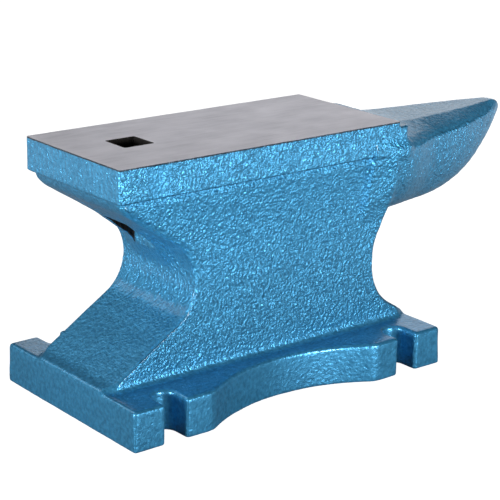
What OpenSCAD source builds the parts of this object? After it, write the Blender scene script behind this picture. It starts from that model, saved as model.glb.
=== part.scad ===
// London-pattern bench anvil, cast iron, with a ground working face, one square hardy hole
// and four open bolt notches in the foot.
// Frame: +Z up, +X towards the horn, origin in the middle of the underside of the foot.

/* [Face] */
// Width of the ground working face
face_w = 101.6; // [98:0.1:106]
// Length of the ground working face
face_len = 219; // [210:1:228]
// Distance from the middle of the foot to the heel end of the face
face_reach = 120.2; // [116:0.1:124]
// Height of the working face above the floor
face_h = 166; // [162:1:172]
// Height of the ground face above the rough ledge at the horn end
face_t = 2.6; // [2:0.1:4]

/* [Table and heel] */
// Depth of the straight-sided table, measured down from the working face
table_depth = 21.3; // [18:0.1:25]
// Length of the rough ledge between the face and the horn
ledge_len = 8.6; // [6:0.1:12]
// How far the heel under the table stands in from each side of the table
heel_inset = 1.8; // [1:0.1:3]
// Side of the square hardy hole
hardy_w = 22; // [19:0.5:26]
// Distance from the heel end of the face to the middle of the hardy hole
hardy_x = 43.5; // [40:0.5:48]
// How far the cored hardy hole sits off the centre line, towards the left side
hardy_y = 2.4; // [0:0.1:4]
// How far the heel overhangs the waist at its narrowest
heel_overhang = 63.2; // [60:0.1:66]
// Slope of the underside of the heel and of the swept ends of the waist
sweep_angle = 32.5; // [30:0.5:35]

/* [Waist] */
// Width of the waist, side to side
waist_w = 79.2; // [74:0.1:84]
// Height at which the sides start to flare out to the heel
flare_z = 85; // [80:1:90]
// Radius of the cove under the heel
heel_cove_r = 29.4; // [27:0.1:32]
// Height of the middle of the heel cove
heel_cove_z = 84.4; // [82:0.1:87]
// Length of the waist at its narrowest, heel cove to horn cove
waist_len = 146; // [140:1:150]
// Radius of the lower part of the cove under the horn
horn_cove_r = 36; // [32:1:40]
// Height at which the horn cove is deepest
horn_cove_z = 69; // [66:1:72]
// Radius of the gentle upper part of the cove under the horn
horn_lean_r = 100; // [90:1:120]
// Length of the waist's squared corners, from the horn cove towards the horn
horn_corner_len = 9; // [7:0.5:12]

/* [Horn] */
// Length of the horn from the ledge to the tip
horn_len = 138; // [128:1:146]
// Height of the flat top of the horn
horn_top_z = 157.5; // [155:0.5:159]
// Height of the tip of the horn
horn_tip_z = 148.3; // [146:0.1:151]
// Height of the widest part of the horn at its root
horn_wide_z = 140; // [136:1:143]
// Height of the underside of the horn at its root
horn_belly_z = 94.3; // [90:0.1:98]
// Greatest width of the horn at its root
horn_w = 95; // [90:1:98]
// Width of the flat top of the horn at its root
horn_flat_w = 41; // [34:1:48]

/* [Foot] */
// Length of the foot
foot_len = 248.8; // [244:0.1:256]
// Width of the foot
foot_w = 142.4; // [138:0.1:148]
// Thickness of the foot at its corners
foot_t = 24.8; // [22:0.1:28]
// Length of each corner of the foot
corner_len = 58.5; // [54:0.5:62]
// Depth of the curved scoop in each long side of the foot
scoop_depth = 19.6; // [16:0.1:22]
// Width of the bolt notches
notch_w = 16; // [14:0.5:18]
// Depth of the bolt notches, from the edge of the foot to the round end
notch_depth = 20; // [18:0.5:22]
// Distance between the bolt notches along the foot
notch_pitch = 188.4; // [184:0.1:192]

/* [Hidden] */
$fn = 96;
slack = 1;                                   // how far cutters run past what they cut

// Places along the anvil
heel_x = -face_reach;                        // heel end of the face
ledge_x = heel_x + face_len;                 // horn end of the ground face
horn_x = ledge_x + ledge_len;                // where the horn leaves the table
tip_x = horn_x + horn_len;                   // tip of the horn
hole_x = heel_x + hardy_x;                   // middle of the hardy hole
end_x = foot_len / 2;                        // end of the foot
corner_x = end_x - corner_len;               // inner end of a foot corner

// Heights and half widths
ledge_z = face_h - face_t;
table_z = face_h - table_depth;              // underside of the table
heel_hw = face_w / 2 - heel_inset;           // half width of the heel just under the table
waist_hw = waist_w / 2;
foot_hw = foot_w / 2;

// Heel cove: two flat sweeps joined by an arc
waist_heel_x = heel_x + heel_overhang;       // narrowest place on the heel side
cove_x = waist_heel_x - heel_cove_r;         // middle of the arc
cove_tan_x = cove_x + heel_cove_r * sin(sweep_angle);
cove_tan_dz = heel_cove_r * cos(sweep_angle);
cove_reach = 90;                             // length of the cutter's flat sweeps along X
nose_step = 0.6;                             // the heel's end face stands in from the table's
nose_r = 9;                                  // round under the heel's end face
nose_x = heel_x + nose_step;
nose_z = heel_cove_z + cove_tan_dz + (cove_tan_x - nose_x) * tan(sweep_angle);

// Horn cove: one tight arc below, one gentle arc above
waist_horn_x = waist_heel_x + waist_len;     // narrowest place on the horn side
horn_arc_x = waist_horn_x + horn_cove_r;
horn_tan_x = horn_arc_x - horn_cove_r * sin(sweep_angle);
horn_tan_z = horn_cove_z - horn_cove_r * cos(sweep_angle);
corner_end_x = waist_horn_x + horn_corner_len;

// Side flare: an arc that leaves the waist upright and ends at the heel's half width
flare_dz = table_z - flare_z;
flare_dy = heel_hw - waist_hw;
flare_r = (pow(flare_dz, 2) + pow(flare_dy, 2)) / (2 * flare_dy);

// Scoop in the long sides of the foot
scoop_r = (pow(corner_x, 2) + pow(scoop_depth, 2)) / (2 * scoop_depth);

// Horn sections
horn_steps = 26;                             // sections along the horn
arc_steps = 10;                              // points along each quarter of a section
tip_s = 0.995;                               // last section, just short of the tip
root_rise = ledge_z - horn_top_z;            // the flat top climbs to the ledge at its root
root_fade = 0.09;                            // how fast that climb dies away
nose_s = 0.85;                               // where the top starts to round to the tip
shoulder = 1.15;                             // 1 makes the upper side an ellipse, more flattens it
belly_steps = 48;                            // sides of the belly's curve at the root

blue = [0.13, 0.42, 0.62];
ground = [0.66, 0.65, 0.68];

// Everything along the horn is a function of s, from 0 at the ledge to 1 at the tip.
// taper falls from 1 to 0: a larger a keeps it full for longer, a smaller b blunts the end.
function taper(s, a, b) = pow(max(0, 1 - pow(s, a)), b);
function horn_hw(s) = horn_w / 2 * taper(s, 1.35, 0.8);
function horn_flat_hw(s) = horn_flat_w / 2 * taper(s, 1.5, 0.8);
function horn_bottom(s) = horn_belly_z + (horn_tip_z - horn_belly_z) * (1 - taper(s, 4.2, 1.2));
function horn_nose(s) = s < nose_s ? 0 : 1 - sqrt(max(0, 1 - pow((s - nose_s) / (1 - nose_s), 2)));
function horn_top(s) = horn_top_z + root_rise * exp(-s / root_fade)
                       - (horn_top_z - horn_tip_z) * horn_nose(s);
function horn_mid(s) = horn_wide_z + (horn_tip_z - horn_wide_z) * s * s;

// Right half of one section, from the middle of the flat top down to the middle of the belly
function half_section(s) = concat(
    [[0, horn_top(s)]],
    [for (i = [0 : arc_steps]) let (a = 90 * i / arc_steps)
        [horn_flat_hw(s) + (horn_hw(s) - horn_flat_hw(s)) * pow(sin(a), shoulder),
         horn_mid(s) + (horn_top(s) - horn_mid(s)) * pow(cos(a), shoulder)]],
    [for (i = [1 : arc_steps]) let (a = 90 * i / arc_steps)
        [horn_hw(s) * cos(a), horn_mid(s) - (horn_mid(s) - horn_bottom(s)) * sin(a)]]
);
half_n = 2 * arc_steps + 2;                  // points in half a section
ring_n = 2 * half_n - 2;                     // points in a whole section

// Whole section: the right half, then the left half back up without its two middle points
function ring(s) = let (h = half_section(s)) [
    for (i = [0 : ring_n - 1]) i < half_n ? [h[i][0], h[i][1]] : [-h[ring_n - i][0], h[ring_n - i][1]]
];
// Sections crowd together towards the tip
function step_s(k) = tip_s * (1 - pow(1 - k / horn_steps, 1.6));

module side_view(depth) {
    rotate([90, 0, 0]) linear_extrude(height = depth, center = true) children();
}

// Cut away under the heel, in side view
module heel_cove() {
    translate([cove_x, heel_cove_z]) circle(r = heel_cove_r);
    polygon([
        [cove_tan_x, heel_cove_z - cove_tan_dz],
        [cove_tan_x, heel_cove_z + cove_tan_dz],
        [cove_tan_x - cove_reach, heel_cove_z + cove_tan_dz + cove_reach * tan(sweep_angle)],
        [cove_tan_x - cove_reach, heel_cove_z - cove_tan_dz - cove_reach * tan(sweep_angle)]
    ]);
}

// Cut away under the horn, in side view
module horn_cove() {
    translate([horn_arc_x, horn_cove_z]) circle(r = horn_cove_r);
    polygon([
        [horn_tan_x, horn_tan_z],
        [horn_tan_x, horn_cove_z],
        [horn_arc_x + cove_reach, horn_cove_z],
        [horn_arc_x + cove_reach, horn_tan_z - (horn_arc_x + cove_reach - horn_tan_x) * tan(sweep_angle)]
    ]);
    intersection() {
        translate([waist_horn_x + horn_lean_r, horn_cove_z]) circle(r = horn_lean_r, $fn = 192);
        translate([waist_horn_x, horn_cove_z - slack])
            square([horn_x - waist_horn_x + slack, table_z - horn_cove_z + 2 * slack]);
    }
}

// End view of heel and waist together: straight sides that flare out to the table
module end_view() {
    difference() {
        translate([-heel_hw, 0]) square([2 * heel_hw, table_z]);
        for (side = [-1, 1]) {
            translate([side * (waist_hw + flare_r), flare_z]) circle(r = flare_r, $fn = 360);
            translate([side > 0 ? waist_hw : -heel_hw - slack, -slack])
                square([flare_dy + slack, flare_z + slack]);
        }
    }
}

// The straight or flared core that heel and waist are cut from, between two places along X
module core(x0, x1, z0, z1) {
    intersection() {
        translate([x0, 0, 0]) rotate([90, 0, 90]) linear_extrude(height = x1 - x0) end_view();
        translate([x0, -heel_hw - slack, z0]) cube([x1 - x0, 2 * (heel_hw + slack), z1 - z0]);
    }
}

module hardy_hole(z0, z1) {
    translate([hole_x - hardy_w / 2, hardy_y - hardy_w / 2, z0]) cube([hardy_w, hardy_w, z1 - z0]);
}

module face_plate() {
    color(ground) difference() {
        translate([heel_x, -face_w / 2, ledge_z]) cube([face_len, face_w, face_t]);
        hardy_hole(ledge_z - slack, face_h + slack);
    }
}

module table() {
    color(blue) difference() {
        translate([heel_x, -face_w / 2, table_z]) cube([face_len + ledge_len, face_w, ledge_z - table_z]);
        hardy_hole(table_z - slack, ledge_z + slack);
    }
}

// Overhanging block under the table at the heel end; its end face rounds into the underside
module heel() {
    turn = 90 - sweep_angle;                 // angle that the round turns through
    reach = nose_r * tan(turn / 2);          // from the sharp corner to where the round starts
    color(blue) difference() {
        core(nose_x, waist_heel_x, heel_cove_z, table_z);
        side_view(2 * face_w) heel_cove();
        side_view(2 * face_w) difference() {
            translate([nose_x - slack, nose_z - 2 * slack])
                polygon([
                    [0, 0],
                    [slack + reach * cos(sweep_angle), 2 * slack - reach * sin(sweep_angle)],
                    [slack, 2 * slack + reach],
                    [0, 2 * slack + reach]
                ]);
            translate([nose_x + nose_r, nose_z + reach]) circle(r = nose_r);
        }
        hardy_hole(heel_cove_z, table_z + slack);
    }
}

module waist() {
    color(blue) difference() {
        union() {
            core(waist_heel_x, horn_x, foot_t, table_z);
            translate([-end_x, -waist_hw, foot_t])
                cube([waist_heel_x + end_x, waist_w, heel_cove_z - foot_t]);
            translate([waist_horn_x, -waist_hw, foot_t])
                cube([end_x - waist_horn_x, waist_w, horn_cove_z - foot_t]);
        }
        side_view(2 * face_w) heel_cove();
        difference() {
            union() {
                side_view(2 * face_w) horn_cove();
                translate([corner_end_x, -face_w, horn_cove_z])
                    cube([horn_x - corner_end_x + slack, 2 * face_w, horn_wide_z - horn_cove_z]);
            }
            horn_root();
        }
    }
}

// Belly of the horn carried back, at its full size, into the end of the waist
module horn_root() {
    depth = horn_wide_z - horn_belly_z;
    translate([waist_heel_x, 0, 0]) rotate([90, 0, 90])
        linear_extrude(height = horn_x - waist_heel_x + slack) polygon(concat(
            [for (i = [0 : belly_steps]) let (a = 180 * i / belly_steps - 90)
                [heel_hw * sin(a), horn_wide_z - depth * cos(a)]],
            [[heel_hw, table_z], [-heel_hw, table_z]]
        ));
}

module horn() {
    s_of = [for (k = [0 : horn_steps]) step_s(k)];
    pts = [for (s = s_of) for (p = ring(s)) [horn_x + horn_len * s, p[0], p[1]]];
    last = horn_steps * ring_n;
    color(blue) polyhedron(
        points = concat(pts, [[tip_x, 0, horn_tip_z]]),
        faces = concat(
            [[for (i = [0 : ring_n - 1]) i]],
            [for (k = [0 : horn_steps - 1]) for (i = [0 : ring_n - 1]) let (j = (i + 1) % ring_n)
                [k * ring_n + i, (k + 1) * ring_n + i, (k + 1) * ring_n + j, k * ring_n + j]],
            [for (i = [0 : ring_n - 1]) let (j = (i + 1) % ring_n) [last + i, len(pts), last + j]]
        )
    );
}

// Plan of the foot without its notches: a rectangle scooped along both long sides
module foot_plan() {
    difference() {
        square([foot_len, foot_w], center = true);
        for (side = [-1, 1])
            translate([0, side * (foot_hw - scoop_depth + scoop_r)]) circle(r = scoop_r, $fn = 360);
    }
}

module base() {
    color(blue) linear_extrude(height = foot_t) intersection() {
        foot_plan();
        union() {
            square([foot_len, waist_w], center = true);
            square([2 * corner_x, foot_w], center = true);
        }
    }
}

// One corner of the foot with its open bolt notch; along and across are +1 or -1
module foot_corner(along, across) {
    color(blue) linear_extrude(height = foot_t) difference() {
        translate([along > 0 ? corner_x : -end_x, across > 0 ? waist_hw : -foot_hw])
            square([corner_len, foot_hw - waist_hw]);
        translate([along * notch_pitch / 2, across * (foot_hw - notch_depth + notch_w / 2)]) {
            circle(d = notch_w);
            translate([-notch_w / 2, across > 0 ? 0 : -notch_depth]) square([notch_w, notch_depth]);
        }
    }
}
module foot_heel_left() { foot_corner(-1, 1); }
module foot_heel_right() { foot_corner(-1, -1); }
module foot_horn_left() { foot_corner(1, 1); }
module foot_horn_right() { foot_corner(1, -1); }

face_plate();
table();
heel();
waist();
horn();
base();
foot_heel_left();
foot_heel_right();
foot_horn_left();
foot_horn_right();
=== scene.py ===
"""Looks of the bench anvil.

The anvil is one iron casting, so its surface is made as one: distance fields are blended with
fillets, meshed, given their cast lumps, ground flat on top and then cut into the pieces that stand
for the CAD nodes. Lengths inside the mesh code are millimetres; the pieces are in metres.
"""
import math

import bmesh
import bpy
import numpy as np
from mathutils import Matrix, Vector


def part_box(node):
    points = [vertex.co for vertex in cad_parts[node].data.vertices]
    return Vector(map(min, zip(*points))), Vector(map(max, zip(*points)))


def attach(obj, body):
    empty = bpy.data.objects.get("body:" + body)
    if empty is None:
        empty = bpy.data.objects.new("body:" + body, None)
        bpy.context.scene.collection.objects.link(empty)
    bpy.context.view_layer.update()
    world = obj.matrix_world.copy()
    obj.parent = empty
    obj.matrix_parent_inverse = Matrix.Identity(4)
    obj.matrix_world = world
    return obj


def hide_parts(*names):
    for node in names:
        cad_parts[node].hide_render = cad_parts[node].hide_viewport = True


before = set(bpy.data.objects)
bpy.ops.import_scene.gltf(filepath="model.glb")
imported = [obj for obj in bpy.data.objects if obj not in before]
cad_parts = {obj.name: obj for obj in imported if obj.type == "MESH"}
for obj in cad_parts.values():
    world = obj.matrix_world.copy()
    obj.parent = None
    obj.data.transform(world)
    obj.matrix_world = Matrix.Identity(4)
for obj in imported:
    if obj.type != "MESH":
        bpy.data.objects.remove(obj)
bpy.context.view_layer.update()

MM = 0.001                     # metres in a millimetre
X, Y, Z = range(3)
SKIN, INNER, GROUND = range(3)  # kinds of face: cast skin, cut between two pieces, ground face


# ---------------------------------------------------------------- sizes from the frame, in mm

def box_mm(node):
    """Lowest and highest corner of a CAD node, in millimetres."""
    low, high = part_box(node)
    return low / MM, high / MM


face_low, face_high = box_mm("face_plate")
table_low, table_high = box_mm("table")
heel_low, heel_high = box_mm("heel")
horn_high = box_mm("horn")[1]
base_high = box_mm("base")[1]
corner_low, corner_high = box_mm("foot_horn_left")

FACE_Z = face_high.z           # ground working face
LEDGE_Z = table_high.z         # rough ledge at the horn end
TABLE_Z = table_low.z          # underside of the table
HEEL_X = face_low.x            # heel end
LEDGE_X = face_high.x          # horn end of the ground face
HORN_X = table_high.x          # root of the horn
TIP_X = horn_high.x            # tip of the horn
FACE_HW = face_high.y          # half widths
HEEL_HW = heel_high.y
WAIST_HW = corner_low.y
FOOT_HW = corner_high.y
END_X = base_high.x            # end of the foot
CORNER_X = corner_low.x        # inner end of a foot corner
FOOT_RISE = 1.2                # how far the rough painted skin raises the top of the foot
FOOT_Z = base_high.z + FOOT_RISE
WAIST_HEEL_X = heel_high.x     # narrowest place of the waist, heel side
NOSE_X = heel_low.x            # end face of the heel block

# Shape values that the frame's boxes don't give, in mm
SWEEP = math.radians(32.5)     # slope of the heel's underside and of the swept ends
HEEL_COVE_R = 29.4
HEEL_COVE_Z = 84.4
NOSE_R = 9.0                   # round from the heel's end face to its underside
HEEL_EDGE_R = 4.4              # edges between the sides and the heel's underside
WAIST_EDGE_R = 1.8             # edges between the sides and the waist's ends
WAIST_FILLET = 5.0             # fillet between waist and foot
FLARE_Z = 85.0                 # where the sides start to flare
UNDERCUT = 1.8                 # how far the waist steps back right under the table
UNDERCUT_HEIGHT = 4.5
TOE_IN = 6.5                   # how far the swept ends narrow towards the ends of the foot
TOE_START, TOE_END = 113, 126
HORN_COVE_X = 90.3             # narrowest place of the waist, horn side
HORN_COVE_Z = 68.2
HORN_COVE_R = 36.0
HORN_LEAN_Z = 73.0             # where the horn cove starts to close again, and its radius there
HORN_LEAN_R = 38.0
SQUARE_X = 99.5                # end of the waist's squared corners under the horn, and its height
SQUARE_Z = 107.0
SQUARE_LEAN = 0.12             # how much that end falls back above and below this height
SQUARE_R = 3.0
SCOOP = 19.6                   # depth of the scoops in the foot's long sides
NOTCH_X = 94.2
NOTCH_R = 8.0
NOTCH_DEPTH = 20.0
HOLE = (-76.7, 2.4)            # middle of the hardy hole
HOLE_HW = 11.0
HOLE_CORNER_R = 1.2
HOLE_RIM_R = 0.8
BOSS = 4.3                     # how far the heel's underside swells round the hole
BOSS_X = (-104, -64)           # the swell grows over these lengths and heights
BOSS_Z = (84, 99)
BOSS_Y = 5.0                   # its middle, and how far off it the swell dies away
BOSS_REACH = (10, 30)
LEDGE_SINK = 0.8               # how much lower the rough ledge lies than in the CAD
STEP_FILLET = 0.7              # fillets at the foot of the ledge's step and right under the table
STEP_R = 0.9                   # edge of the step
PLAN_R = 2.0                   # edges of the scoops and notches, seen from above
HORN_TOP_Z = 156.0
HORN_TIP_Z = 148.3
HORN_BELLY_Z = 94.2
HORN_WIDE_Z = 145.0            # height of the horn's widest line at its root
HORN_HW = 50.5
HORN_FLAT_HW = 21.0
HORN_DRAW_IN = 11.0            # how much the horn's sides draw in, beyond its taper, past its root
HORN_DRAW_END = 0.34           # part of the horn's length by which they have done so
SIDE_TAPER = (1.65, 0.83)      # powers of taper() for the horn's sides, flat top and belly
FLAT_TAPER = (1.5, 0.8)
BELLY_TAPER = (4.2, 1.2)
HORN_NOSE = 0.1                # part of its length that is the rounding of the tip
HORN_RISE = 0.07               # part of its length over which its top climbs to the ledge
BELLY_POWER = 2.2              # 2 makes the belly an ellipse, more makes it fuller
ROOT_BACK = 26.0               # how far the horn's root runs back into the waist
ROOT_FILLET = 10.0             # fillet round the horn's root, below and at its top
ROOT_FILLET_TOP = 3.5
ROOT_SIDE = 4.0                # how far the root stands out from the waist's sides, at its end

GRID = 0.85                    # spacing of the distance grid
MARGIN = 4.0                   # room round the casting in the grid
GRIND = 4.0                    # rough stock above the working face before it is ground
CUT_OFF = 1.0                  # how far most cuts between pieces lie from the casting's own steps
NEAR = 1e-3                    # within this distance of a plane, a point lies on it

# Where the cast skin changes from smooth to rough
SIDE_FACING = (0.7, 0.95)      # how squarely a face looks sideways: the sides are the roughest
OVER_FOOT = (24, 44)           # heights: the foot is smooth, and the ends are so up to their sweeps
OVER_SWEEP = (52, 78)
UNDER_HEEL = (120, 136)        # the ends get smoother again on the heel block
END_ROUGHNESS = 0.8
HEEL_ROUGHNESS = 0.4           # as a share of END_ROUGHNESS


# ---------------------------------------------------------------- distance fields

def both(a, b, r):
    """Inside both fields, with a convex edge of radius r."""
    return np.minimum(-r, np.maximum(a, b)) + np.hypot(np.maximum(a + r, 0), np.maximum(b + r, 0))


def either(a, b, r):
    """Inside either field, with a concave fillet of radius r."""
    return -both(-a, -b, r)


def span(v, low, high):
    """Distance outside the slab from low to high."""
    return np.abs(v - (low + high) / 2) - (high - low) / 2


def ramp(v, low, high):
    """0 below low, 1 above high and smooth between them."""
    t = np.clip((v - low) / (high - low), 0, 1)
    return t * t * (3 - 2 * t)


def fade(v, low, high):
    """1 below low, 0 above high and smooth between them."""
    return ramp(-v, -high, -low)


def swept_wedge(x, dz, r):
    """Distance outside a cove that opens towards +x from a round of radius r about the origin."""
    along = x * math.cos(SWEEP) + dz * math.sin(SWEEP)
    off = -x * math.sin(SWEEP) + dz * math.cos(SWEEP)
    return np.where((along > 0) | (off < 0), off, np.hypot(x, dz)) - r


def foot_edge(z):
    """Edge radius of the foot: crisp at the floor, softer on top."""
    return 0.9 + 1.7 * ramp(z, 3, 18)


def foot_field(x, y, z):
    """Foot slab with scooped sides and four open bolt notches; its ends are cut later."""
    ax, ay = np.abs(x), np.abs(y)
    scoop_r = (CORNER_X ** 2 + SCOOP ** 2) / (2 * SCOOP)
    scoop_y = FOOT_HW - SCOOP + scoop_r
    plan = both(ay - FOOT_HW, scoop_r - np.hypot(x, ay - scoop_y), PLAN_R)
    notch_y = FOOT_HW - NOTCH_DEPTH + NOTCH_R
    notch = np.hypot(ax - NOTCH_X, np.minimum(ay - notch_y, 0)) - NOTCH_R
    plan = both(plan, -notch, PLAN_R)
    return both(plan, span(z, 0, FOOT_Z), foot_edge(z))


def half_width(z):
    """Half width of waist and heel: upright, then flared up to an undercut below the table."""
    flare_dz, flare_dy = TABLE_Z - FLARE_Z, HEEL_HW - WAIST_HW
    flare_r = (flare_dz ** 2 + flare_dy ** 2) / (2 * flare_dy)
    flared = WAIST_HW + flare_r - np.sqrt(flare_r ** 2 - np.clip(z - FLARE_Z, 0, flare_dz) ** 2)
    return flared - UNDERCUT * ramp(z, TABLE_Z - UNDERCUT_HEIGHT, TABLE_Z - 0.8)


def body_field(x, y, z):
    """Waist and heel: flared sides, a cove at each end, swept ends that run out past the foot."""
    toe = TOE_IN * ramp(np.abs(x), TOE_START, TOE_END) * (z < HEEL_COVE_Z)
    side = np.abs(y) - half_width(z) + toe

    heel_cove = swept_wedge(WAIST_HEEL_X - HEEL_COVE_R - x, np.abs(z - HEEL_COVE_Z), HEEL_COVE_R)
    boss = ramp(z, *BOSS_Z) * fade(np.abs(y - BOSS_Y), *BOSS_REACH) * ramp(x, *BOSS_X)
    heel_cove = heel_cove + BOSS * boss
    nose = both(-heel_cove, NOSE_X - x, NOSE_R)
    heel_profile = np.where(z > HEEL_COVE_Z, nose, -heel_cove)

    low_cove = swept_wedge(x - HORN_COVE_X - HORN_COVE_R, np.abs(z - HORN_COVE_Z), HORN_COVE_R)
    lean = np.hypot(x - HORN_COVE_X - HORN_LEAN_R, np.maximum(z - HORN_LEAN_Z, 0)) - HORN_LEAN_R
    square = both(-lean, x - SQUARE_X + SQUARE_LEAN * np.abs(z - SQUARE_Z), SQUARE_R)
    horn_profile = np.where(z > HORN_COVE_Z, square, -low_cove)

    edge = WAIST_EDGE_R + (HEEL_EDGE_R - WAIST_EDGE_R) * ramp(z, 88, 108) * (x < 0)
    solid = both(np.maximum(heel_profile, horn_profile), side, edge)
    bottom, top = 6, TABLE_Z + 2
    return np.maximum(solid, span(z, bottom, top))


def table_field(x, y, z):
    """Table with its rough ledge, and the raised face before it is ground."""
    upright_edge = 1.6 + 1.9 * (x > 0)
    block = both(span(x, HEEL_X, HORN_X), np.abs(y) - FACE_HW, upright_edge)
    block = both(block, span(z, TABLE_Z, FACE_Z + GRIND), 1.0)
    step = either(x - LEDGE_X, z - LEDGE_Z + LEDGE_SINK, STEP_FILLET)
    return both(block, step, STEP_R)


def taper(s, a, b):
    """Falls from 1 to 0 along the horn."""
    return np.maximum(1 - np.power(s, a), 0) ** b


def as_distance(field):
    """First-order distance of a field whose zero surface is right but whose scale isn't."""
    slope = np.sqrt(sum(g * g for g in np.gradient(field, GRID)))
    return field / np.maximum(slope, 1e-4)


def horn_field(x, y, z):
    """Flat-topped horn: sloping shoulders above its widest line, a rounded belly below."""
    s = np.clip((x - HORN_X) / (TIP_X - HORN_X), 0, 0.998)
    hw = (HORN_HW - HORN_DRAW_IN * ramp(s, -0.02, HORN_DRAW_END)) * taper(s, *SIDE_TAPER)
    flat = HORN_FLAT_HW * taper(s, *FLAT_TAPER)
    bottom = HORN_BELLY_Z + (HORN_TIP_Z - HORN_BELLY_Z) * (1 - taper(s, *BELLY_TAPER))
    nose = 1 - np.sqrt(1 - (np.clip(s - (1 - HORN_NOSE), 0, 1) / HORN_NOSE) ** 2)
    top = HORN_TOP_Z + 0.1 * s + (LEDGE_Z - HORN_TOP_Z) * np.exp(-s / HORN_RISE)
    top = top - (top - HORN_TIP_Z) * nose
    wide = HORN_WIDE_Z + (HORN_TIP_Z - HORN_WIDE_Z) * s * s
    across = np.maximum(np.abs(y) - flat, 0) / (hw - flat)
    up = np.maximum(z - wide, 0) / (top - wide)
    upper = across + up * up - 1
    down = np.abs(wide - z) / (wide - bottom)
    lower = ((np.abs(y) / hw) ** BELLY_POWER + down ** BELLY_POWER) ** (1 / BELLY_POWER) - 1
    solid = np.where(z > wide, as_distance(upper), as_distance(lower))
    sides = np.abs(y) - half_width(z) - ROOT_SIDE * ramp(x, 84, 102) - FOOT_HW * (x > HORN_X)
    ends = np.maximum(x - TIP_X, HORN_X - ROOT_BACK - x)
    return np.maximum(solid, np.maximum(sides, ends))


def hole_field(x, y, z):
    """Square hardy hole, straight down through the heel into the open cove."""
    square = both(np.abs(x - HOLE[0]) - HOLE_HW, np.abs(y - HOLE[1]) - HOLE_HW, HOLE_CORNER_R)
    return np.maximum(square, HEEL_COVE_Z - z)


def casting_field(x, y, z):
    """The whole casting."""
    solid = either(body_field(x, y, z), foot_field(x, y, z), WAIST_FILLET)
    solid = both(solid, np.abs(x) - END_X, foot_edge(z))
    solid = either(solid, table_field(x, y, z), STEP_FILLET)
    start = int(np.searchsorted(x[:, 0, 0], HORN_X - ROOT_BACK - MARGIN))
    fillet = ROOT_FILLET_TOP + (ROOT_FILLET - ROOT_FILLET_TOP) * fade(z, 148, 158)
    solid[start:] = either(solid[start:], horn_field(x[start:], y, z), fillet)
    return both(solid, -hole_field(x, y, z), HOLE_RIM_R)


# ---------------------------------------------------------------- meshing

def surface_nets(field, origin):
    """Vertices, in mm, and quads of the field's zero surface: one vertex in each crossed cell."""
    inside = field < 0
    count = np.zeros(tuple(n - 1 for n in field.shape), np.int8)
    corners = [(i, j, k) for i in (0, 1) for j in (0, 1) for k in (0, 1)]
    nx, ny, nz = count.shape
    for i, j, k in corners:
        count += inside[i:i + nx, j:j + ny, k:k + nz]
    cells = np.argwhere((count > 0) & (count < 8))
    number = np.full(count.shape, -1, np.int32)
    number[tuple(cells.T)] = np.arange(len(cells))

    value = {c: field[tuple((cells + c).T)] for c in corners}
    total = np.zeros((len(cells), 3))
    hits = np.zeros(len(cells))
    for axis in range(3):
        step = tuple(int(axis == a) for a in range(3))
        for c in (c for c in corners if c[axis] == 0):
            a, b = value[c], value[tuple(np.add(c, step))]
            crossed = (a < 0) != (b < 0)
            t = a / np.where(crossed, a - b, 1)
            point = np.array(c) + t[:, None] * np.array(step)
            total += np.where(crossed[:, None], point, 0)
            hits += crossed
    points = origin + GRID * (cells + total / hits[:, None])

    quads = []
    for axis in range(3):
        u, v = (axis + 1) % 3, (axis + 2) % 3
        low = [slice(1, n - 1) for n in field.shape]
        low[axis] = slice(0, field.shape[axis] - 1)
        high = list(low)
        high[axis] = slice(1, field.shape[axis])
        a, b = inside[tuple(low)], inside[tuple(high)]
        edges = np.argwhere(a != b)
        leaving = a[tuple(edges.T)]
        edges[:, u] += 1
        edges[:, v] += 1
        du, dv = np.eye(3, dtype=int)[u], np.eye(3, dtype=int)[v]
        ring = [edges - du - dv, edges - dv, edges, edges - du]
        ring = np.stack([number[tuple(c.T)] for c in ring], axis=1)
        quads.append(np.where(leaving[:, None], ring, ring[:, ::-1]))
    return points, np.concatenate(quads)


def sample(field, origin, points):
    """The field at any points, by trilinear interpolation."""
    q = (points - origin) / GRID
    cell = np.clip(np.floor(q).astype(int), 0, np.array(field.shape) - 2)
    t = q - cell
    result = 0
    for corner in np.ndindex(2, 2, 2):
        weight = np.prod(np.where(corner, t, 1 - t), axis=1)
        result = result + weight * field[tuple((cell + corner).T)]
    return result


def slope_at(field, origin, points):
    """The field's gradient at any points."""
    half = 0.5 * GRID
    return np.stack([
        (sample(field, origin, points + half * d) - sample(field, origin, points - half * d)) / GRID
        for d in np.eye(3)
    ], axis=1)


def lumps(points, size, seed):
    """Smooth noise from -1 to 1 with lumps about size mm across."""
    table = np.random.default_rng(seed).uniform(-1, 1, (64, 64, 64))
    turn = np.array(Matrix.Rotation(0.7 + seed, 3, Vector((1, 2, 3))))
    q = points @ turn.T / size
    cell = np.floor(q).astype(int)
    t = q - cell
    t = t * t * (3 - 2 * t)
    result = 0
    for corner in np.ndindex(2, 2, 2):
        weight = np.prod(np.where(corner, t, 1 - t), axis=1)
        result = result + weight * table[tuple(((cell + corner) % 64).T)]
    return result


def roughness_at(points, normals):
    """How rough the sand left each place: full on the sides, smoother on the foot and the sweeps."""
    z = points[:, 2]
    side = ramp(np.abs(normals[:, 1]), *SIDE_FACING)
    end = END_ROUGHNESS * ramp(z, *OVER_SWEEP) * (1 - (1 - HEEL_ROUGHNESS) * ramp(z, *UNDER_HEEL))
    least = 0.3
    return least + (1 - least) * ramp(z, *OVER_FOOT) * np.maximum(side, end)


def cast_relief(points, normals):
    """How far the rough cast surface stands out at each point, in mm. On faces that look along X
    the fine lumps are twice as tall as wide."""
    faces_end = np.abs(normals[:, :1]) > 0.75
    grain = np.where(faces_end, points * (1, 1, 0.5), points)
    fine = 0.12 * lumps(grain, 5.5, 2) + 0.15 * lumps(grain, 2.6, 3) + 0.10 * lumps(grain, 1.7, 4)
    return 0.14 * lumps(points, 14, 1) + roughness_at(points, normals) * fine


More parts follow.
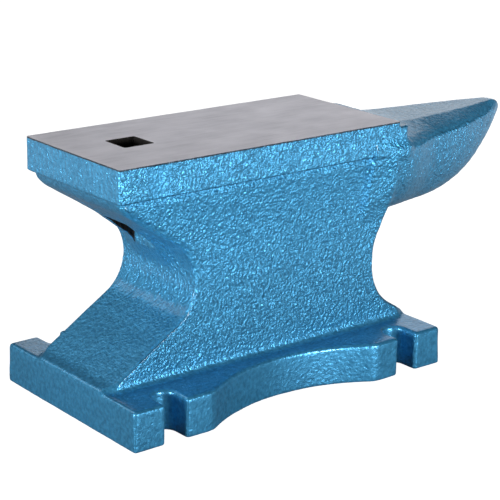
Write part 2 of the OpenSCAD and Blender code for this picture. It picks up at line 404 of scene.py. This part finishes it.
def vertex_normals(points, quads):
    """Area-weighted normals of a quad mesh."""
    across = points[quads[:, 2]] - points[quads[:, 0]]
    down = points[quads[:, 3]] - points[quads[:, 1]]
    face = np.cross(across, down)
    normals = np.zeros_like(points)
    for corner in range(4):
        for axis in range(3):
            normals[:, axis] += np.bincount(quads[:, corner], face[:, axis], len(points))
    return normals / np.linalg.norm(normals, axis=1, keepdims=True)


def casting_mesh():
    """Points in mm, quads and normals of the rough casting."""
    low = np.array([-END_X - MARGIN, -FOOT_HW - MARGIN, -MARGIN])
    high = np.array([TIP_X + MARGIN, FOOT_HW + MARGIN, FACE_Z + GRIND + MARGIN])
    axes = [np.arange(low[i], high[i], GRID, dtype=np.float32) for i in range(3)]
    x, y, z = np.meshgrid(*axes, indexing="ij", sparse=True)
    field = casting_field(x, y, z).astype(np.float32)
    points, quads = surface_nets(field, low)
    for _ in range(3):
        slope = slope_at(field, low, points)
        steps = sample(field, low, points) / np.maximum((slope ** 2).sum(1), 0.1)
        points -= steps[:, None] * slope
    smooth = slope_at(field, low, points)
    smooth /= np.linalg.norm(smooth, axis=1, keepdims=True)
    points += cast_relief(points, smooth)[:, None] * smooth
    points[:, 2] = np.maximum(points[:, 2], 0)
    return points, quads, vertex_normals(points, quads)


# ---------------------------------------------------------------- cutting into pieces

def start_bmesh(points, quads, normals):
    """The casting as a bmesh that carries its smooth normals through the cuts."""
    mesh = bpy.data.meshes.new("casting")
    mesh.vertices.add(len(points))
    mesh.vertices.foreach_set("co", points.ravel())
    mesh.loops.add(quads.size)
    mesh.loops.foreach_set("vertex_index", quads.ravel())
    mesh.polygons.add(len(quads))
    mesh.polygons.foreach_set("loop_start", np.arange(0, quads.size, 4))
    mesh.update(calc_edges=True)
    smooth = mesh.attributes.new("cast_normal", "FLOAT_VECTOR", "POINT")
    smooth.data.foreach_set("vector", normals.ravel())
    bm = bmesh.new()
    bm.from_mesh(mesh)
    bpy.data.meshes.remove(mesh)
    bm.faces.layers.int.new("cap")
    return bm


def draw_cut(bm, axis, at, faces):
    """Splits faces along the plane where the axis is at, without removing anything."""
    normal = Vector([float(i == axis) for i in range(3)])
    edges = {e for f in faces for e in f.edges}
    verts = {v for e in edges for v in e.verts}
    bmesh.ops.bisect_plane(
        bm, geom=[*verts, *edges, *faces], dist=1e-4, plane_co=normal * at, plane_no=normal)


def fill_rim(bm, kind, on_rim, normal):
    """Closes the open edges both of whose ends pass on_rim, with faces of one kind."""
    cap = bm.faces.layers.int["cap"]
    rim = [e for e in bm.edges if len(e.link_faces) < 2 and all(on_rim(v.co) for v in e.verts)]
    made = bmesh.ops.triangle_fill(
        bm, use_beauty=True, use_dissolve=False, edges=rim, normal=normal)
    for f in made["geom"]:
        if isinstance(f, bmesh.types.BMFace):
            f[cap] = kind


def cap_plane(bm, axis, at, kind):
    """Closes the open edges that lie in one plane."""
    normal = Vector([float(i == axis) for i in range(3)])
    fill_rim(bm, kind, lambda c: abs(c[axis] - at) < NEAR, normal)


def take_out(bm, going):
    """Moves the faces that going(centre) picks from bm to a new bmesh, and returns it."""
    picked = [going(f.calc_center_median()) for f in bm.faces]
    taken = bm.copy()
    for target, drop in ((bm, True), (taken, False)):
        faces = [f for f, p in zip(target.faces, picked) if p is drop]
        bmesh.ops.delete(target, geom=faces, context="FACES")
    return taken


def split(bm, axis, at, side, only=lambda c: True, kind=INNER):
    """Takes off and returns what lies on one side of a plane, with both parts closed."""
    draw_cut(bm, axis, at, [f for f in bm.faces if only(f.calc_center_median())])
    taken = take_out(bm, lambda c: (c[axis] - at) * side > 0 and only(c))
    cap_plane(bm, axis, at, kind)
    cap_plane(taken, axis, at, kind)
    return taken


def split_corners(bm):
    """Takes the four corners off the foot slab and returns them by (along, across) sign."""
    for along in (-1, 1):
        draw_cut(bm, X, along * CORNER_X, list(bm.faces))
    for across in (-1, 1):
        draw_cut(bm, Y, across * WAIST_HW, list(bm.faces))
    corners = {}
    for along in (-1, 1):
        for across in (-1, 1):
            corners[along, across] = take_out(
                bm, lambda c: c.x * along > CORNER_X and c.y * across > WAIST_HW)
    for part, places in [(bm, list(corners))] + [(c, [place]) for place, c in corners.items()]:
        for along, across in places:
            at_corner = [
                v for v in part.verts
                if abs(v.co.x - along * CORNER_X) < NEAR and abs(v.co.y - across * WAIST_HW) < NEAR]
            part.edges.new(at_corner)
        for along in {a for a, _ in places}:
            for across in {b for _, b in places if (along, b) in places}:
                cap_corner(part, along, across)
    return corners


def cap_corner(bm, along, across):
    """Closes the two walls where one corner meets the rest of the foot."""
    def beyond(v, sign, start):
        return v * sign - start > -NEAR

    def on(v, sign, start):
        return abs(v - sign * start) < NEAR

    any_normal = Vector()
    fill_rim(bm, INNER, lambda c: on(c.x, along, CORNER_X) and beyond(c.y, across, WAIST_HW), any_normal)
    fill_rim(bm, INNER, lambda c: on(c.y, across, WAIST_HW) and beyond(c.x, along, CORNER_X), any_normal)


def cut_casting(bm):
    """Grinds the face flat and divides the casting. The cuts lie about 1 mm off the steps between
    the parts, so that no cut runs along a rough surface."""
    over_ledge, over_foot = LEDGE_Z + 0.8, FOOT_Z + 1.2
    split(bm, Z, FACE_Z, 1, kind=GROUND).free()
    parts = {"face_plate": split(bm, Z, over_ledge, 1)}
    parts["horn"] = split(bm, X, HORN_X + CUT_OFF, 1, lambda c: c.z > HORN_COVE_Z)
    parts["table"] = split(bm, Z, TABLE_Z - CUT_OFF, 1)
    parts["heel"] = split(bm, X, WAIST_HEEL_X - CUT_OFF, -1, lambda c: c.z > HEEL_COVE_Z)
    parts["waist"] = split(bm, Z, over_foot, 1)
    corners = split_corners(bm)
    for along, end in ((-1, "heel"), (1, "horn")):
        for across, hand in ((-1, "right"), (1, "left")):
            parts[f"foot_{end}_{hand}"] = corners[along, across]
    parts["base"] = bm
    return parts


def shade_smooth(mesh, kind):
    """Gives skin faces the casting's smooth normals and all the others their flat one."""
    mesh.polygons.foreach_set("use_smooth", kind == SKIN)
    normals = np.zeros(3 * len(mesh.vertices))
    mesh.attributes["cast_normal"].data.foreach_get("vector", normals)
    normals = normals.reshape(-1, 3)
    normals /= np.maximum(np.linalg.norm(normals, axis=1, keepdims=True), 1e-9)
    vertex = np.zeros(len(mesh.loops), np.int32)
    mesh.loops.foreach_get("vertex_index", vertex)
    flat = np.zeros(3 * len(mesh.polygons))
    mesh.polygons.foreach_get("normal", flat)
    sides = np.zeros(len(mesh.polygons), np.int32)
    mesh.polygons.foreach_get("loop_total", sides)
    face = np.repeat(np.arange(len(mesh.polygons)), sides)
    mesh.normals_split_custom_set(
        np.where((kind == SKIN)[face, None], normals[vertex], flat.reshape(-1, 3)[face]))


def make_piece(name, bm, materials):
    """Turns one part of the casting into a smooth-shaded object. The second material is for its
    ground face."""
    bmesh.ops.recalc_face_normals(bm, faces=bm.faces)
    bmesh.ops.scale(bm, vec=Vector((MM, MM, MM)), verts=bm.verts)
    mesh = bpy.data.meshes.new(name)
    bm.to_mesh(mesh)
    bm.free()

    kind = np.zeros(len(mesh.polygons), np.int32)
    mesh.attributes["cap"].data.foreach_get("value", kind)
    mesh.polygons.foreach_set("material_index", (kind == GROUND).astype(np.int32))
    shade_smooth(mesh, kind)
    for attribute in ("cap", "cast_normal"):
        mesh.attributes.remove(mesh.attributes[attribute])

    piece = bpy.data.objects.new(name, mesh)
    bpy.context.scene.collection.objects.link(piece)
    for material in materials:
        mesh.materials.append(material)
    return piece


# ---------------------------------------------------------------- materials

def metres(lengths):
    """A pair of lengths in mm, in metres."""
    return [length * MM for length in lengths]


class Nodes:
    """Short names for adding and linking shader nodes."""

    def __init__(self, name):
        self.material = bpy.data.materials.new(name)
        self.material.use_nodes = True
        self.tree = self.material.node_tree
        self.shader = self.tree.nodes["Principled BSDF"]
        place = self.add("ShaderNodeTexCoord")
        self.place, self.normal = place.outputs["Object"], place.outputs["Normal"]

    def add(self, kind, **settings):
        """A new node with these settings."""
        node = self.tree.nodes.new(kind)
        for key, value in settings.items():
            setattr(node, key, value)
        return node

    def put(self, socket, value):
        """Links or sets one input."""
        if isinstance(value, bpy.types.NodeSocket):
            self.tree.links.new(value, socket)
        else:
            socket.default_value = value

    def noise(self, size, detail, stretch=(1, 1, 1)):
        """Noise with lumps about size metres across, longer where stretch is over 1."""
        mapping = self.add("ShaderNodeMapping")
        mapping.inputs["Scale"].default_value = [1 / k for k in stretch]
        self.put(mapping.inputs["Vector"], self.place)
        node = self.add("ShaderNodeTexNoise")
        self.put(node.inputs["Vector"], mapping.outputs["Vector"])
        node.inputs["Scale"].default_value = 1 / size
        node.inputs["Detail"].default_value = detail
        return node.outputs["Fac"]

    def cells(self, size):
        """Distance from the middle of rounded cells about size metres across."""
        node = self.add("ShaderNodeTexVoronoi", feature="SMOOTH_F1")
        self.put(node.inputs["Vector"], self.place)
        node.inputs["Scale"].default_value = 1 / size
        node.inputs["Smoothness"].default_value = 0.6
        return node.outputs["Distance"]

    def range(self, value, low, high, to_low=0.0, to_high=1.0):
        """value from low..high to to_low..to_high, clamped."""
        node = self.add("ShaderNodeMapRange")
        for key, number in (("Value", value), ("From Min", low), ("From Max", high),
                            ("To Min", to_low), ("To Max", to_high)):
            self.put(node.inputs[key], number)
        return node.outputs["Result"]

    def math(self, operation, a, b=0.0):
        """a and b combined by one operation."""
        node = self.add("ShaderNodeMath", operation=operation)
        self.put(node.inputs[0], a)
        self.put(node.inputs[1], b)
        return node.outputs[0]

    def times(self, a, b):
        """a times b."""
        return self.math("MULTIPLY", a, b)

    def split(self, vector):
        """The three parts of a vector."""
        node = self.add("ShaderNodeSeparateXYZ")
        self.put(node.inputs[0], vector)
        return tuple(node.outputs)

    def near(self, value, middle, reach, soft):
        """1 where value is within reach of middle, 0 farther off, with a soft edge inside reach."""
        away = self.math("ABSOLUTE", self.math("SUBTRACT", value, middle))
        return self.range(away, reach - soft, reach, 1.0, 0.0)

    def mix(self, factor, a, b):
        """Colour a where factor is 0, b where it is 1."""
        node = self.add("ShaderNodeMix", data_type="RGBA")
        for key, value in ((0, factor), (6, a), (7, b)):
            self.put(node.inputs[key], value)
        return node.outputs[2]

    def bump(self, height, distance, normal=None):
        """A normal tilted by a height of distance metres, on top of another bump if given."""
        node = self.add("ShaderNodeBump")
        node.inputs["Distance"].default_value = distance
        self.put(node.inputs["Height"], height)
        if normal is not None:
            self.put(node.inputs["Normal"], normal)
        return node.outputs["Normal"]


def cast_roughness(n, smooth_patch):
    """How rough the paint's bumps are: much as roughness_at says, and less on the smooth patch."""
    z = n.split(n.place)[2]
    side = n.range(n.math("ABSOLUTE", n.split(n.normal)[1]), *SIDE_FACING)
    end = n.times(n.range(z, *metres(OVER_SWEEP), 0.0, END_ROUGHNESS),
                  n.range(z, *metres(UNDER_HEEL), 1.0, HEEL_ROUGHNESS))
    rough = n.times(n.range(z, *metres(OVER_FOOT)), n.math("MAXIMUM", side, end))
    return n.times(n.range(rough, 0, 1, 0.16, 1.0), n.range(smooth_patch, 0, 1, 1.0, 0.55))


def smooth_patch_mask(n):
    """1 on the smooth patch that the table's near side has by the heel, 0 elsewhere."""
    middle_x, reach_x = -0.0935, 0.0105
    middle_z, reach_z = 0.1540, 0.0140
    soft = 0.007
    x, y, z = n.split(n.place)
    patch = n.times(n.near(x, middle_x, reach_x, soft), n.near(z, middle_z, reach_z, soft))
    return n.times(patch, n.range(y, -0.050, -0.049, 1.0, 0.0))


def bare_and_shaded_hole_mask(n):
    """1 on the walls of the hardy hole that are painted near-black, 0 elsewhere. Above about 110 mm this
    stands for both unpainted iron, where the paint didn't reach, and the deep hole's shade. Down the far
    wall, where little light reaches, it is painted shade alone.
    """
    x, y, z = n.split(n.place)
    reach, soft = (HOLE_HW + 0.6) * MM, 0.0004
    far_side = (HOLE[1] + HOLE_HW) * MM
    hole = n.times(n.near(x, HOLE[0] * MM, reach, soft), n.near(y, HOLE[1] * MM, reach, soft))
    # The far wall is dark from 94 mm up, lower than the other walls. This is painted shade, because
    # little light reaches it.
    shaded_far_wall = n.times(n.range(y, far_side - 0.0012, far_side - 0.0004), n.range(z, 0.090, 0.094))
    return n.times(hole, n.math("MAXIMUM", shaded_far_wall, n.range(z, 0.107, 0.112)))


def paint_colour(n, smooth_patch):
    """Deep blue with lighter pools, both drifting a little over the casting."""
    pools = n.times(n.range(n.noise(0.0026, 3), 0.35, 0.65), n.range(smooth_patch, 0, 1, 1.0, 0.3))
    drift = n.range(n.noise(0.05, 2), 0.35, 0.65)
    deep = n.mix(drift, (0.027, 0.192, 0.362, 1), (0.029, 0.207, 0.390, 1))
    light = n.mix(drift, (0.050, 0.290, 0.520, 1), (0.053, 0.305, 0.550, 1))
    return n.mix(pools, deep, light)


def ground_rim_mask(n):
    """1 along the ragged top edge, where grinding left a dark line in the paint, 0 below it."""
    ragged = n.range(n.noise(0.004, 2), 0, 1, -0.0003, 0.0003)
    return n.range(n.math("ADD", n.split(n.place)[2], ragged), 0.1649, 0.1652)


def paint_material():
    """Glossy metallic blue hammertone paint."""
    n = Nodes("hammertone_paint")
    patch = smooth_patch_mask(n)
    rough = cast_roughness(n, patch)
    bare_and_shade = bare_and_shaded_hole_mask(n)
    dark = n.math("MAXIMUM", bare_and_shade, n.times(ground_rim_mask(n), 0.9))
    # Near-black colour: unpainted iron and painted shade in the hardy hole, and worn paint along the
    # ground top edge.
    colour = n.mix(dark, paint_colour(n, patch), (0.012, 0.010, 0.009, 1))
    n.put(n.shader.inputs["Base Color"], colour)
    n.shader.inputs["Metallic"].default_value = 0.6
    matte = n.math("MAXIMUM", n.range(patch, 0, 1, 0.40, 0.48), n.times(bare_and_shade, 0.8))
    n.put(n.shader.inputs["Roughness"], matte)
    coat = n.times(n.range(bare_and_shade, 0, 1, 0.37, 0.0), n.range(patch, 0, 1, 1.0, 0.4))
    n.put(n.shader.inputs["Coat Weight"], coat)
    n.shader.inputs["Coat Roughness"].default_value = 0.15
    n.shader.inputs["Coat IOR"].default_value = 1.5
    dimples = n.math("ADD", n.noise(0.0019, 1), n.times(n.cells(0.0024), 0.2))
    coarse = n.bump(n.times(dimples, rough), 0.0019)
    fine = n.bump(n.times(n.noise(0.0011, 1), rough), 0.0006, coarse)
    n.put(n.shader.inputs["Normal"], fine)
    return n.material


def ground_material():
    """Surface-ground unpainted iron: matte, with faint marks along the face."""
    n = Nodes("ground_face")
    cloud = n.range(n.noise(0.016, 4, stretch=(1.6, 1, 1)), 0.25, 0.75)
    marks = n.range(n.noise(0.0022, 3, stretch=(9, 1, 1)), 0.3, 0.7)
    colour = n.mix(cloud, (0.56, 0.555, 0.62, 1), (0.82, 0.81, 0.88, 1))
    colour = n.mix(n.times(marks, 0.5), colour, (0.90, 0.89, 0.95, 1))
    n.put(n.shader.inputs["Base Color"], colour)
    n.shader.inputs["Metallic"].default_value = 0.9
    n.put(n.shader.inputs["Roughness"], n.range(marks, 0, 1, 0.50, 0.60))
    n.put(n.shader.inputs["Normal"], n.bump(n.noise(0.0008, 2, stretch=(14, 1, 1)), 0.00002))
    return n.material


# ---------------------------------------------------------------- studio

CAMERA_AT = (-0.6271, -0.7946, 0.4027)
CAMERA_ANGLES = (-39.12, 16.887, 1.122)    # azimuth, elevation and roll, in degrees
CAMERA_LENS = 118.19                       # mm, on a 36 mm wide sensor
CAMERA_SHIFT = (-0.0063, -0.0327)
FILL = 0.055                               # brightness of the surroundings, other than to the camera
FLOOR_SIZE = 6


def make_camera():
    """The photograph's viewpoint."""
    azimuth, elevation, roll = (math.radians(a) for a in CAMERA_ANGLES)
    back = Vector((math.sin(azimuth) * math.cos(elevation),
                   -math.cos(azimuth) * math.cos(elevation), math.sin(elevation)))
    right = Vector((0, 0, 1)).cross(back).normalized()
    up = back.cross(right)
    right, up = (math.cos(roll) * right + math.sin(roll) * up,
                 math.cos(roll) * up - math.sin(roll) * right)
    data = bpy.data.cameras.new("camera")
    data.lens = CAMERA_LENS
    data.sensor_width = 36
    data.shift_x, data.shift_y = CAMERA_SHIFT
    camera = bpy.data.objects.new("camera", data)
    turn = Matrix((right, up, back)).transposed().to_4x4()
    camera.matrix_world = Matrix.Translation(CAMERA_AT) @ turn
    bpy.context.scene.collection.objects.link(camera)
    bpy.context.scene.camera = camera


def make_light(name, place, size, power, aim=(0.02, 0, 0.08), spread=180):
    """A square soft light that looks at aim. Its light fades out over the spread, in degrees."""
    data = bpy.data.lights.new(name, "AREA")
    data.size = size
    data.energy = power
    data.spread = math.radians(spread)
    light = bpy.data.objects.new(name, data)
    light.location = place
    light.rotation_mode = "QUATERNION"
    light.rotation_quaternion = (Vector(aim) - Vector(place)).to_track_quat("-Z", "Y")
    bpy.context.scene.collection.objects.link(light)


def make_surroundings():
    """White to the camera, a weak fill light to everything else."""
    world = bpy.data.worlds.new("studio")
    world.use_nodes = True
    tree = world.node_tree
    seen = tree.nodes.new("ShaderNodeLightPath").outputs["Is Camera Ray"]
    strength = tree.nodes.new("ShaderNodeMapRange")
    tree.links.new(seen, strength.inputs["Value"])
    strength.inputs["To Min"].default_value = FILL
    strength.inputs["To Max"].default_value = 1.0
    tree.links.new(strength.outputs["Result"], tree.nodes["Background"].inputs["Strength"])
    tree.nodes["Background"].inputs["Color"].default_value = (1, 1, 1, 1)
    bpy.context.scene.world = world
    bpy.context.scene.view_settings.view_transform = "Standard"


def make_floor():
    """A floor that the camera sees as pure white. Towards the anvil it glows less, so that what the
    anvil mirrors of it stays dark."""
    bm = bmesh.new()
    bmesh.ops.create_grid(bm, x_segments=1, y_segments=1, size=FLOOR_SIZE)
    mesh = bpy.data.meshes.new("floor")
    bm.to_mesh(mesh)
    bm.free()
    floor = bpy.data.objects.new("floor", mesh)
    bpy.context.scene.collection.objects.link(floor)
    n = Nodes("floor")
    n.shader.inputs["Base Color"].default_value = (0.35, 0.35, 0.35, 1)
    n.shader.inputs["Roughness"].default_value = 0.9
    n.shader.inputs["Emission Color"].default_value = (1, 1, 1, 1)
    seen = n.add("ShaderNodeLightPath").outputs["Is Camera Ray"]
    away = n.add("ShaderNodeVectorMath", operation="LENGTH")
    n.put(away.inputs[0], n.place)
    glow = n.range(away.outputs["Value"], 0.2, 0.9, 0.0, 0.7)
    n.put(n.shader.inputs["Emission Strength"], n.math("MAXIMUM", glow, seen))
    mesh.materials.append(n.material)


def make_studio():
    """Surroundings, floor and lights. The two low lights, left and front, aim over the anvil, so
    that their light fades down its sides."""
    make_surroundings()
    make_floor()
    make_light("left", (-2.25, -0.2, 0.45), 0.6, 18, (0, 0, 0.88), 60)
    make_light("front", (0.25, -2.3, 0.36), 0.6, 26, (0, 0, 1.04), 60)
    make_light("over", (-1.0, 1.3, 1.3), 0.9, 6)
    make_light("back", (2.0, 1.9, 0.65), 2.0, 15.5)


# ---------------------------------------------------------------- the anvil

paint = paint_material()
ground = ground_material()
for name, part in cut_casting(start_bmesh(*casting_mesh())).items():
    is_face = name == "face_plate"
    piece = make_piece(name + "_casting", part, [paint, ground] if is_face else [paint])
    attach(piece, "root")
    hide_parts(name)

make_camera()
make_studio()
